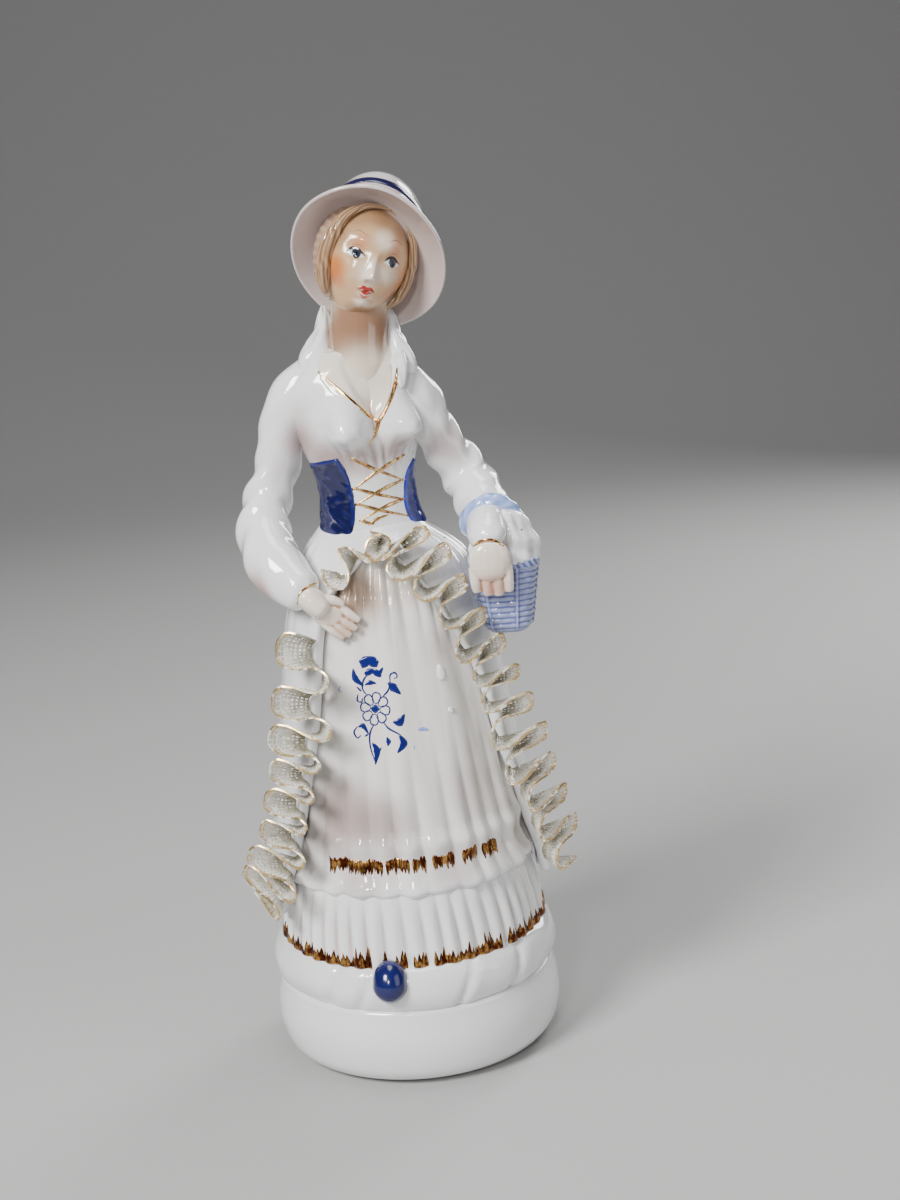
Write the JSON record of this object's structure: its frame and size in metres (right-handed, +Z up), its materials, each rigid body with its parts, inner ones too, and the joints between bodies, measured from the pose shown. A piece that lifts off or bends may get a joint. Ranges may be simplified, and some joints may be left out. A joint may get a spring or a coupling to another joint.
{
  "type": "figurine",
  "caption": "Porcelain figurine of a standing lady in a long blue and white dress with a bonnet, basket and applied lace, on a round stepped plinth.",
  "frame": {"origin": "under the middle of the figurine's bounding box, on the surface that it stands on", "axes": "+Z up along her height; she looks along -Y; +X is towards her left hand and the basket"},
  "size_m": [0.0868, 0.0792, 0.23],
  "materials": {
    "white_glaze": "glossy clear glaze over white porcelain",
    "cobalt_glaze": "cobalt blue under a glossy clear glaze",
    "pale_blue_glaze": "pale periwinkle blue under a glossy clear glaze",
    "flesh_glaze": "flesh tint under a glossy clear glaze",
    "hair_glaze": "pale blond tint under a glossy clear glaze",
    "lace_bisque": "satin ivory porcelain lace with gilt edges"
  },
  "bodies": {
    "root": {"plinth": "white_glaze", "ground_tier": "white_glaze", "shoe_tip": "cobalt_glaze", "underskirt": "white_glaze", "flounce": "white_glaze", "overskirt": "white_glaze", "bodice": "white_glaze", "right_sleeve": "white_glaze", "left_sleeve": "white_glaze", "right_hand": "flesh_glaze", "left_hand": "flesh_glaze", "head": "flesh_glaze", "hair": "hair_glaze", "hat": "white_glaze", "right_tie": "white_glaze", "left_tie": "white_glaze", "basket_body": "pale_blue_glaze", "basket_handle": "pale_blue_glaze", "basket_cloth": "white_glaze", "lace_left": "lace_bisque", "lace_right": "lace_bisque", "lace_waist": "lace_bisque"}
  },
  "joints": []
}
